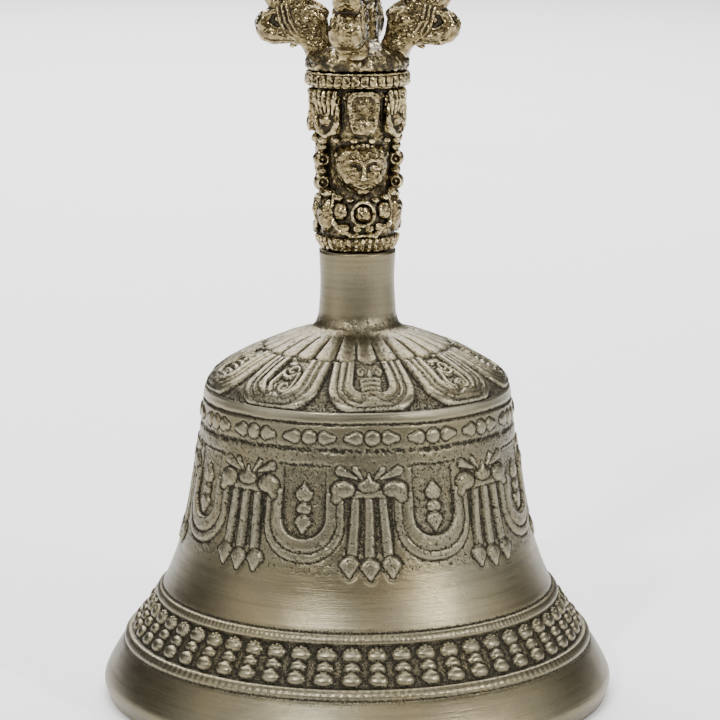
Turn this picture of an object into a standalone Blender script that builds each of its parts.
"""Tibetan hand bell: a cast bell with a hollow neck, a brass handle with a face and a crown,
a half vajra of five prongs on top, and a clapper hanging inside.

Metres, +Z up. The origin is the middle of the lip's underside, and the face looks along -Y.
"""

import math

import bpy
from mathutils import Matrix, Vector

# ---- Driving dimensions, in metres ----------------------------------------------------------

GAP = 0.0003  # left between pieces that touch or are soldered

LIP_RADIUS = 0.0474  # widest place, just above the lip's underside
LIP_FLAT_OUTER = 0.0465
LIP_FLAT_INNER = 0.0434
SHOULDER_RADIUS = 0.0285
SHOULDER_HEIGHT = 0.0570
NECK_TOP = 0.0833
NECK_RADIUS = 0.00705
NECK_WAIST_RADIUS = 0.00683
BORE_RADIUS = 0.0053  # the socket in the neck that takes the handle's tang
BORE_FLOOR = 0.0684
CEILING = 0.0642  # top of the hollow inside the bell
STAPLE_HOLE_RADIUS = 0.0021

GROOVE_HEIGHTS = (0.0559, 0.0516, 0.0489)
GROOVE_DEPTH = 0.0004
GROOVE_HALF_WIDTH = 0.0006
RINGS = ((0.0194, 0.0010), (0.0115, 0.0009))  # (height, half width) of the two lower mouldings
RING_PROUD = 0.0006

COLUMN_TOP = 0.1161
TANG_RADIUS = 0.0048
TANG_BOTTOM = 0.0728
SPIGOT_RADIUS = 0.0030
SPIGOT_LENGTH = 0.0045
SOCKET_DEPTH = 0.0050
SOCKET_CLEARANCE = 0.0004

VAJRA_TURN = math.radians(-13)  # the vajra was soldered on a little off the face's line
CUP_RADIUS = 0.0094
CUP_THICKNESS = 0.0018
HUB_RADIUS = 0.0040
HUB_TOP = 0.1216
PRONG_HALF_WIDTH = 0.0024
PRONG_ROUNDING = 0.0005
TIP_TOP = 0.1625

WIRE_RADIUS = 0.00075
STAPLE_LEG_OFFSET = 0.00085
STAPLE_EYE_RADIUS = 0.0023
STAPLE_EYE_HEIGHT = 0.0593
STAPLE_SPREAD = 0.0032
LINK_END_RADIUS = 0.0023
LINK_LENGTH = 0.0090  # between the middles of its two end wires
ROD_EYE_RADIUS = 0.0024
ROD_EYE_WIRE = 0.0009
ROD_RADIUS = 0.0013
ROD_BOTTOM = 0.0115
BOB_RADIUS = 0.0056
BOB_TOP = 0.0185
BOB_BOTTOM = 0.0040
WASHER_RADIUS = 0.0050
WASHER_THICKNESS = 0.0012

BELL_STEPS = 48
COLUMN_STEPS = 32
SMALL_STEPS = 24
WIRE_RESOLUTION = 2
MERGE = 0.00001

# Where the clapper's two joints turn: the middle of the staple's lowest wire and, one link
# lower, the middle of the link's lowest wire.
UPPER_PIVOT = STAPLE_EYE_HEIGHT - STAPLE_EYE_RADIUS
LINK_TOP = UPPER_PIVOT + 2 * WIRE_RADIUS + GAP
LOWER_PIVOT = LINK_TOP - LINK_LENGTH
ROD_EYE_TOP = LOWER_PIVOT + WIRE_RADIUS + ROD_EYE_WIRE + GAP


# ---- Scene helpers --------------------------------------------------------------------------


def clear_scene():
    for obj in list(bpy.data.objects):
        bpy.data.objects.remove(obj, do_unlink=True)


def new_collection(name):
    collection = bpy.data.collections.new(name)
    bpy.context.scene.collection.children.link(collection)
    return collection


def metal(name, colour, roughness, metallic=1.0):
    made = bpy.data.materials.new(name)
    made.use_nodes = True
    shader = made.node_tree.nodes["Principled BSDF"]
    shader.inputs["Base Color"].default_value = (*colour, 1)
    shader.inputs["Roughness"].default_value = roughness
    shader.inputs["Metallic"].default_value = metallic
    return made


def add_object(name, data, material, collection):
    obj = bpy.data.objects.new(name, data)
    collection.objects.link(obj)
    data.materials.append(material)
    return obj


def smooth_line(knots, per_span):
    """Points on a Catmull-Rom curve through the knots, per_span of them between two knots."""
    ends = [knots[0], *knots, knots[-1]]
    points = []
    for i in range(len(knots) - 1):
        before, start, end, after = (Vector(k) for k in ends[i : i + 4])
        for step in range(per_span):
            t = step / per_span
            points.append(
                0.5
                * (
                    2 * start
                    + (end - before) * t
                    + (2 * before - 5 * start + 4 * end - after) * t**2
                    + (3 * start - before - 3 * end + after) * t**3
                )
            )
    points.append(Vector(knots[-1]))
    return [tuple(p) for p in points]


def turned(name, outline, material, collection, steps, closed=False):
    """A piece turned round Z from (radius, height) points that run down its outer side."""
    count = len(outline)
    edges = [(i, i + 1) for i in range(count - 1)]
    if closed:
        edges.append((count - 1, 0))
    mesh = bpy.data.meshes.new(name)
    mesh.from_pydata([(radius, 0, height) for radius, height in outline], edges, [])
    obj = add_object(name, mesh, material, collection)
    screw = obj.modifiers.new("Turn", "SCREW")
    screw.steps = screw.render_steps = steps
    screw.use_merge_vertices = True
    screw.merge_threshold = MERGE
    screw.use_smooth_shade = True
    return obj


def wire(name, points, radius, material, collection, cyclic=False):
    """A round wire along the points, with flat ends unless it closes on itself."""
    curve = bpy.data.curves.new(name, "CURVE")
    curve.dimensions = "3D"
    curve.bevel_depth = radius
    curve.bevel_resolution = WIRE_RESOLUTION
    curve.use_fill_caps = not cyclic
    spline = curve.splines.new("POLY")
    spline.points.add(len(points) - 1)
    spline.use_cyclic_u = cyclic
    for point, place in zip(spline.points, points, strict=True):
        point.co = (*place, 1)
    return add_object(name, curve, material, collection)


def arc(middle, radius, start, end, count, plane):
    """Points on an arc. Angles are in degrees from straight down, towards +X or +Y."""
    points = []
    for i in range(count):
        angle = math.radians(start + (end - start) * i / (count - 1))
        across, up = radius * math.sin(angle), middle - radius * math.cos(angle)
        points.append((across, 0, up) if plane == "XZ" else (0, across, up))
    return points


def join_on(obj, other):
    """Unions another object into this one and keeps the other as a hidden helper."""
    union = obj.modifiers.new(other.name, "BOOLEAN")
    union.operation = "UNION"
    union.solver = "EXACT"
    union.object = other
    other.hide_render = True
    other.display_type = "WIRE"


def lump(name, place, size, material, collection, turn=0.0, segments=10, rings=6):
    """An ellipsoid with half sizes (across, outward, up), turned round the handle's axis."""
    bpy.ops.mesh.primitive_uv_sphere_add(segments=segments, ring_count=rings, radius=1)
    obj = bpy.context.object
    obj.name = name
    for old in list(obj.users_collection):
        old.objects.unlink(obj)
    collection.objects.link(obj)
    obj.data.materials.append(material)
    radius, height = place
    obj.data.transform(Matrix.Diagonal((*size, 1)))
    obj.data.transform(Matrix.Translation((0, -radius, height)))
    obj.data.transform(Matrix.Rotation(turn, 4, "Z"))
    return obj


# ---- The bell -------------------------------------------------------------------------------


def with_detail(line, heights, half_width, depth, shares):
    """The line with a groove, or a ring if depth is negative, centred on each of the heights.

    The shares, from -1 to 1, say where its points lie across its width.
    """
    for height in heights:
        above = [p for p in line if p[1] > height + half_width]
        below = [p for p in line if p[1] < height - half_width]
        (r0, z0), (r1, z1) = above[-1], below[0]
        radius = r0 + (r1 - r0) * (z0 - height) / (z0 - z1)
        slope = (r1 - r0) / (z0 - z1)
        detail = []
        for share in shares:
            down = share * half_width
            cut = depth * math.sqrt(1 - share**2)
            detail.append((radius + slope * down - cut, height - down))
        line = above + detail + below
    return line


def bell_outline():
    """The bell's section, down the outside and up the inside."""
    neck = smooth_line([(NECK_RADIUS, NECK_TOP), (NECK_WAIST_RADIUS, 0.0775), (0.00715, 0.0715)], 2)
    dome = smooth_line(
        [(0.0082, 0.0692), (0.0120, 0.0675), (0.0203, 0.0640), (0.0262, 0.0606), (0.0282, 0.0584)],
        2,
    )
    waist = smooth_line(
        [
            (SHOULDER_RADIUS, SHOULDER_HEIGHT),
            (0.0299, 0.0450),
            (0.0323, 0.0320),
            (0.0368, 0.0200),
            (0.0440, 0.0100),
            (LIP_RADIUS, 0.0040),
        ],
        3,
    )
    waist = with_detail(waist, GROOVE_HEIGHTS, GROOVE_HALF_WIDTH, GROOVE_DEPTH, (-1, 0, 1))
    for height, half_width in RINGS:
        waist = with_detail(waist, (height,), half_width, -RING_PROUD, (-1, -0.5, 0.5, 1))
    lip = [(0.0473, 0.0018), (LIP_FLAT_OUTER, 0.0), (LIP_FLAT_INNER, 0.0)]
    inside = smooth_line(
        [
            (0.0427, 0.0008),
            (0.0418, 0.0060),
            (0.0352, 0.0155),
            (0.0305, 0.0270),
            (0.0278, 0.0400),
            (0.0264, 0.0520),
            (0.0205, 0.0612),
            (0.0100, CEILING),
        ],
        2,
    )
    crown = [
        (STAPLE_HOLE_RADIUS, CEILING),
        (STAPLE_HOLE_RADIUS, BORE_FLOOR),
        (BORE_RADIUS, BORE_FLOOR),
        (BORE_RADIUS, NECK_TOP),
    ]
    return neck + dome + waist + lip + inside + crown


def make_bell(collection, material):
    turned("bell_body", bell_outline(), material, collection, BELL_STEPS, closed=True)


# ---- The handle -----------------------------------------------------------------------------


def column_outline():
    """Socket for the vajra, crown ring, crown, head, vase, collar and tang, from the top."""
    socket = SPIGOT_RADIUS + SOCKET_CLEARANCE
    top = [
        (0, COLUMN_TOP - SOCKET_DEPTH),
        (socket, COLUMN_TOP - SOCKET_DEPTH),
        (socket, COLUMN_TOP),
    ]
    ring = [(0.0094, COLUMN_TOP), (0.0097, 0.1153), (0.0097, 0.1141), (0.0092, 0.1133)]
    crown = smooth_line([(0.0088, 0.1130), (0.0084, 0.1085), (0.0074, 0.1040)], 2)
    head = smooth_line([(0.0070, 0.1030), (0.0069, 0.0985), (0.0066, 0.0945)], 2)
    vase = smooth_line([(0.0072, 0.0935), (0.0081, 0.0905), (0.0080, 0.0880), (0.0072, 0.0866)], 2)
    collar = [(0.0079, 0.0861), (0.0078, 0.0850), (0.0073, 0.0842), (0.0067, NECK_TOP + GAP)]
    tang = [(TANG_RADIUS, NECK_TOP + GAP), (TANG_RADIUS, TANG_BOTTOM), (0, TANG_BOTTOM)]
    return top + ring + crown + head + vase + collar + tang


def column_ornaments(helpers, material):
    """The face, the crown's petals, the ear ornaments and the vase's jewels, as helper solids."""
    made = [
        lump("face", (0.0049, 0.0986), (0.0044, 0.0038, 0.0049), material, helpers),
        lump("chin_knot", (0.0070, 0.0925), (0.0022, 0.0014, 0.0011), material, helpers),
    ]
    petals = 6
    for i in range(petals):
        turn = 2 * math.pi * i / petals
        made.append(
            lump(f"petal_{i}", (0.0082, 0.1084), (0.0030, 0.0012, 0.0043), material, helpers, turn)
        )
    for side in (-1, 1):
        for i, height in enumerate((0.0965, 0.0995, 0.1023)):
            turn = side * math.radians(75)
            size = (0.0016, 0.0013, 0.0014)
            made.append(
                lump(f"bead_{side}_{i}", (0.0070, height), size, material, helpers, turn)
            )
    jewels = 8
    for i in range(jewels):
        turn = 2 * math.pi * (i + 0.5) / jewels
        made.append(
            lump(f"jewel_{i}", (0.0076, 0.0896), (0.0019, 0.0011, 0.0022), material, helpers, turn)
        )
    return made


def make_column(collection, helpers, material):
    column = turned("handle_column", column_outline(), material, collection, COLUMN_STEPS)
    for ornament in column_ornaments(helpers, material):
        join_on(column, ornament)


# ---- The half vajra -------------------------------------------------------------------------


def make_cup(collection, material):
    bottom = COLUMN_TOP + GAP
    outline = [
        (0, HUB_TOP),
        (HUB_RADIUS - 0.0006, HUB_TOP),
        (HUB_RADIUS, HUB_TOP - 0.0008),
        (HUB_RADIUS, bottom + CUP_THICKNESS),
        (CUP_RADIUS - 0.0004, bottom + CUP_THICKNESS),
        (CUP_RADIUS, bottom + CUP_THICKNESS - 0.0005),
        (CUP_RADIUS - 0.0003, bottom),
        (SPIGOT_RADIUS, bottom),
        (SPIGOT_RADIUS, bottom - SPIGOT_LENGTH),
        (0, bottom - SPIGOT_LENGTH),
    ]
    turned("vajra_cup", outline, material, collection, COLUMN_STEPS)


def make_central_prong(collection, material):
    shaft = smooth_line(
        [
            (0.0010, TIP_TOP - 0.0008),
            (0.0023, 0.1580),
            (0.0014, 0.1520),
            (0.0017, 0.1450),
            (0.0027, 0.1400),
            (0.0017, 0.1350),
            (0.0019, 0.1240),
        ],
        3,
    )
    foot = HUB_TOP + GAP
    outline = [(0, TIP_TOP), *shaft, (0.0021, foot + 0.0008), (0.0021, foot), (0, foot)]
    turned("central_prong", outline, material, collection, SMALL_STEPS)


def prong_outline():
    """One outer prong seen from the side, as (distance from the axis, height)."""
    root = COLUMN_TOP + GAP + CUP_THICKNESS + GAP
    inner = HUB_RADIUS + GAP + 0.0001
    snout = smooth_line(
        [
            (0.0095, 0.1195),
            (0.0120, 0.1209),
            (0.0155, 0.1207),
            (0.0185, 0.1230),
            (0.0185, 0.1256),
            (0.0166, 0.1274),
            (0.0174, 0.1305),
            (0.0155, 0.1330),
            (0.0138, 0.1342),
        ],
        3,
    )
    blade = smooth_line(
        [
            (0.0138, 0.1342),
            (0.0147, 0.1400),
            (0.0131, 0.1480),
            (0.0087, 0.1545),
            (0.0031, 0.1588),
        ],
        4,
    )
    inside = smooth_line(
        [
            (0.0029, 0.1566),
            (0.0065, 0.1530),
            (0.0098, 0.1460),
            (0.0108, 0.1380),
            (0.0096, 0.1300),
            (0.0080, 0.1279),
            (0.0056, 0.1268),
            (0.0052, 0.1230),
            (inner, 0.1214),
        ],
        3,
    )
    return [(inner, root), (0.0092, root), *snout, *blade[1:], *inside]


def make_outer_prongs(collection, material):
    """Four alike, a flat outline with rounded edges, standing on the cup round the hub."""
    curve = bpy.data.curves.new("outer_prong", "CURVE")
    curve.dimensions = "2D"
    curve.fill_mode = "BOTH"
    curve.extrude = PRONG_HALF_WIDTH - PRONG_ROUNDING
    curve.bevel_depth = PRONG_ROUNDING
    curve.bevel_resolution = 0
    curve.offset = -PRONG_ROUNDING
    outline = prong_outline()
    spline = curve.splines.new("POLY")
    spline.points.add(len(outline) - 1)
    spline.use_cyclic_u = True
    for point, (distance, height) in zip(spline.points, outline, strict=True):
        point.co = (distance, height, 0, 1)
    curve.materials.append(material)
    for name, turn in (("front", -90), ("right", 0), ("back", 90), ("left", 180)):
        prong = bpy.data.objects.new("outer_prong_" + name, curve)
        collection.objects.link(prong)
        stand_up = Matrix.Rotation(math.pi / 2, 4, "X")
        prong.matrix_world = Matrix.Rotation(math.radians(turn) + VAJRA_TURN, 4, "Z") @ stand_up


# ---- What the neck holds --------------------------------------------------------------------


def make_filling(collection, material):
    """Hard lac poured into the neck's socket, over the staple's legs and under the tang."""
    radius = BORE_RADIUS - GAP
    top = TANG_BOTTOM - GAP
    bottom = BORE_FLOOR + 2 * WIRE_RADIUS + 0.0009
    outline = [(0, top), (radius, top), (radius, bottom), (0, bottom)]
    turned("neck_filling", outline, material, collection, SMALL_STEPS)


# ---- The clapper ----------------------------------------------------------------------------


def make_staple(collection, material):
    """A cotter of bent wire: an eye under the crown, and two legs bent open above it."""
    leg_foot = BORE_FLOOR + WIRE_RADIUS + GAP
    eye = arc(STAPLE_EYE_HEIGHT, STAPLE_EYE_RADIUS, -145, 145, 17, "XZ")
    right_leg = [
        (STAPLE_LEG_OFFSET, 0, CEILING - WASHER_THICKNESS - 0.0006),
        (STAPLE_LEG_OFFSET, 0, leg_foot - 0.0005),
        (STAPLE_LEG_OFFSET + 0.0005, 0, leg_foot),
        (STAPLE_SPREAD, 0, leg_foot + 0.0001),
    ]
    left_leg = [(-x, y, z) for x, y, z in reversed(right_leg)]
    wire("clapper_staple", left_leg + eye + right_leg, WIRE_RADIUS, material, collection)


def make_washer(collection, material):
    top = CEILING - GAP
    bottom = top - WASHER_THICKNESS
    hole = STAPLE_HOLE_RADIUS
    outline = [(hole, top), (WASHER_RADIUS, top), (WASHER_RADIUS, bottom), (hole, bottom)]
    turned("crown_washer", outline, material, collection, SMALL_STEPS, closed=True)


def make_link(collection, material):
    """A long closed ring in the YZ plane, hung through the staple's eye."""
    lower = arc(LOWER_PIVOT + LINK_END_RADIUS, LINK_END_RADIUS, -90, 90, 9, "YZ")
    upper = arc(LINK_TOP - LINK_END_RADIUS, LINK_END_RADIUS, 90, 270, 9, "YZ")
    points = [(x, y, z - UPPER_PIVOT) for x, y, z in lower + upper]
    link = wire("clapper_link", points, WIRE_RADIUS, material, collection, cyclic=True)
    link.location.z = UPPER_PIVOT


def as_mesh(obj, collection):
    """The closed curve object as a mesh object of the same name."""
    graph = bpy.context.evaluated_depsgraph_get()
    name, material, place = obj.name, obj.data.materials[0], obj.matrix_world.copy()
    mesh = bpy.data.meshes.new_from_object(obj.evaluated_get(graph))
    bpy.data.objects.remove(obj, do_unlink=True)
    made = bpy.data.objects.new(name, mesh)
    collection.objects.link(made)
    made.matrix_world = place
    mesh.materials.clear()
    mesh.materials.append(material)
    return made


def make_rod(collection, helpers, material):
    """The clapper's rod with a wire eye at its top. Its object's origin is on the lower pivot."""
    eye_middle = ROD_EYE_TOP - ROD_EYE_RADIUS
    eye_bottom = eye_middle - ROD_EYE_RADIUS
    outline = [
        (0, eye_bottom + 0.0003),
        (0.0009, eye_bottom + 0.0002),
        (ROD_RADIUS, eye_bottom - 0.0015),
        (ROD_RADIUS, ROD_BOTTOM),
        (0, ROD_BOTTOM),
    ]
    outline = [(radius, height - LOWER_PIVOT) for radius, height in outline]
    rod = turned("clapper_rod", outline, material, collection, 16)
    rod.location.z = LOWER_PIVOT
    ring = arc(eye_middle, ROD_EYE_RADIUS, 0, 337.5, 16, "XZ")
    bpy.context.view_layer.update()
    eye = as_mesh(wire("rod_eye", ring, ROD_EYE_WIRE, material, helpers, cyclic=True), helpers)
    join_on(rod, eye)


def make_bob(collection, material):
    """The striker, a pear of iron with a blind bore for the rod."""
    bore = ROD_RADIUS + GAP
    bore_floor = ROD_BOTTOM - GAP
    pear = smooth_line(
        [
            (0.0024, BOB_TOP),
            (0.0036, 0.0160),
            (0.0053, 0.0120),
            (BOB_RADIUS, 0.0095),
            (0.0048, 0.0060),
            (0.0020, BOB_BOTTOM),
        ],
        3,
    )
    outline = [(0, bore_floor), (bore, bore_floor), (bore, BOB_TOP), *pear, (0, BOB_BOTTOM)]
    outline = [(radius, height - LOWER_PIVOT) for radius, height in outline]
    bob = turned("clapper_bob", outline, material, collection, SMALL_STEPS)
    bob.location.z = LOWER_PIVOT


# ---- The whole ------------------------------------------------------------------------------


def main():
    clear_scene()
    bell = new_collection("tibetan_bell")
    helpers = new_collection("helpers")
    bell_metal = metal("bell_metal", (0.30, 0.27, 0.21), 0.38)
    handle_brass = metal("handle_brass", (0.50, 0.36, 0.16), 0.40)
    iron = metal("clapper_iron", (0.16, 0.15, 0.14), 0.50)
    steel = metal("wire_steel", (0.42, 0.41, 0.40), 0.35)
    leather = metal("washer_leather", (0.14, 0.07, 0.03), 0.80, 0.0)
    lac = metal("filling_lac", (0.10, 0.03, 0.02), 0.60, 0.0)

    make_bell(bell, bell_metal)
    make_column(bell, helpers, handle_brass)
    make_cup(bell, handle_brass)
    make_central_prong(bell, handle_brass)
    make_outer_prongs(bell, handle_brass)
    make_filling(bell, lac)
    make_washer(bell, leather)
    make_staple(bell, steel)
    make_link(bell, steel)
    make_rod(bell, helpers, iron)
    make_bob(bell, iron)


main()
